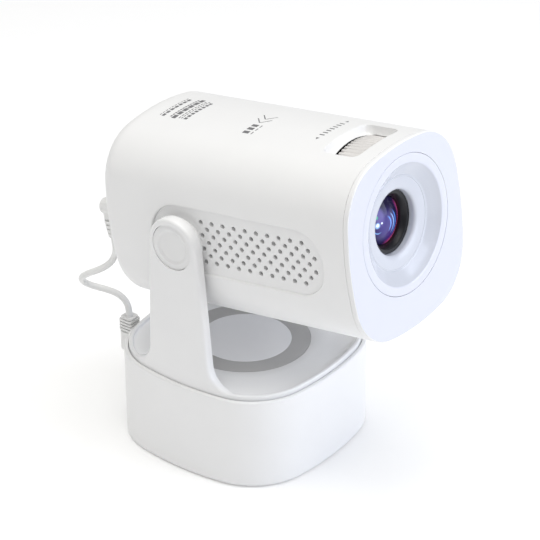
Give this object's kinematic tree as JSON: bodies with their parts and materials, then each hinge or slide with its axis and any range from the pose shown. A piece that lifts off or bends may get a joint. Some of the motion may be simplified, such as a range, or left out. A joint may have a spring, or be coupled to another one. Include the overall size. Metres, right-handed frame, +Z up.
{
  "type": "home projector",
  "caption": "Small home projector: a tilting squircle-section head with a focus wheel, side grilles and recessed lens, held in a yoke on a battery base, with a short power lead.",
  "frame": {"origin": "middle of the base's underside, on the plane of its rubber feet", "axes": "+Z up through the base, the lens looks towards -Y, +X is the projector's left when seen from behind the lens"},
  "size_m": [0.116, 0.1936, 0.196],
  "materials": {
    "white_shell": "satin moulded ABS",
    "white_bezel": "gloss moulded ABS, slightly blue",
    "grille_grey": "fine satin ABS",
    "yoke_white": "gloss moulded ABS",
    "grip_grey": "matt silicone",
    "disc_white": "satin plastic",
    "wheel_ivory": "knurled ABS",
    "black_plastic": "moulded black plastic",
    "coated_glass": "anti-reflection coated",
    "clear_optic": "polished acrylic",
    "lead_grey": "satin PVC",
    "steel": "zinc plated",
    "aluminium": "extruded",
    "board_green": "solder mask",
    "cell_wrap": "shrink wrap",
    "foam_grey": "open foam",
    "foot_rubber": "matt rubber"
  },
  "bodies": {
    "stand": {"base_shell": "white_shell", "base_bottom_cover": "white_shell", "base_feet": "foot_rubber", "base_screws": "steel", "battery_cells": "cell_wrap", "battery_holder": "black_plastic", "base_circuit_board": "board_green", "base_output_socket": "black_plastic", "base_charge_socket": "steel", "yoke_frame": "yoke_white", "plate_centre_disc": "disc_white", "plate_grip_ring": "grip_grey", "yoke_screws": "steel", "pivot_cap_left": "yoke_white", "pivot_cap_right": "yoke_white", "pivot_bolt_left": "steel", "pivot_bolt_right": "steel", "friction_washers": "black_plastic", "pivot_nuts": "steel", "base_plug": "lead_grey", "lead_cord": "lead_grey"},
    "head": {"pivot_hub_left": "steel", "pivot_hub_right": "steel", "side_grille_left": "grille_grey", "side_grille_right": "grille_grey", "dust_filter_left": "foam_grey", "dust_filter_right": "foam_grey", "upper_shell": "white_shell", "lower_shell": "white_shell", "shell_screws": "steel", "front_bezel": "white_bezel", "lens_trim_ring": "white_bezel", "focus_slot_tub": "white_shell", "lens_holder": "black_plastic", "optical_housing": "black_plastic", "rear_fresnel": "clear_optic", "lcd_panel": "coated_glass", "front_fresnel": "clear_optic", "led_reflector": "aluminium", "led_module": "aluminium", "heat_sink": "aluminium", "fan_frame": "black_plastic", "main_board": "board_green", "hdmi_port": "steel", "usb_port": "steel", "audio_jack": "black_plastic", "rear_cover": "white_shell", "remote_window": "black_plastic", "power_switch": "black_plastic", "head_dc_inlet": "black_plastic", "speaker": "black_plastic", "head_plug": "lead_grey"},
    "focus_wheel": {"focus_ring": "wheel_ivory"},
    "lens_unit": {"lens_barrel": "black_plastic", "lens_retainer": "black_plastic", "front_lens": "coated_glass", "rear_lens": "clear_optic"},
    "fan_rotor": {"fan_impeller": "black_plastic"},
    "power_key": {"power_button": "white_bezel"}
  },
  "joints": [
    {"name": "head_tilt", "type": "hinge", "parent": "stand", "child": "head", "pos_m": [0, 0.0035, 0.1304], "axis": [-1, 0, 0], "range_deg": [-26, 50], "deforming": ["lead_cord"]},
    {"name": "focus_turn", "type": "hinge", "parent": "head", "child": "focus_wheel", "pos_m": [0, -0.07947, 0.15065], "axis": [0, -0.9899, 0.1416], "range_deg": [-45, 45]},
    {"name": "lens_slide", "type": "slide", "parent": "head", "child": "lens_unit", "axis": [0, -0.9899, 0.1416], "range_m": [-0.0018, 0.0018]},
    {"name": "fan_spin", "type": "hinge", "parent": "head", "child": "fan_rotor", "pos_m": [0.033, -0.02692, 0.13667], "axis": [1, 0, 0], "continuous": true},
    {"name": "power_press", "type": "slide", "parent": "head", "child": "power_key", "axis": [0, -0.9899, 0.1416], "range_m": [0, 0.0008], "stiffness_N_per_m": 400, "springref_m": -0.001}
  ],
  "couplings": [
    {"joint": "lens_slide", "follows": "focus_turn", "m_per_rad": 0.0022918}
  ]
}
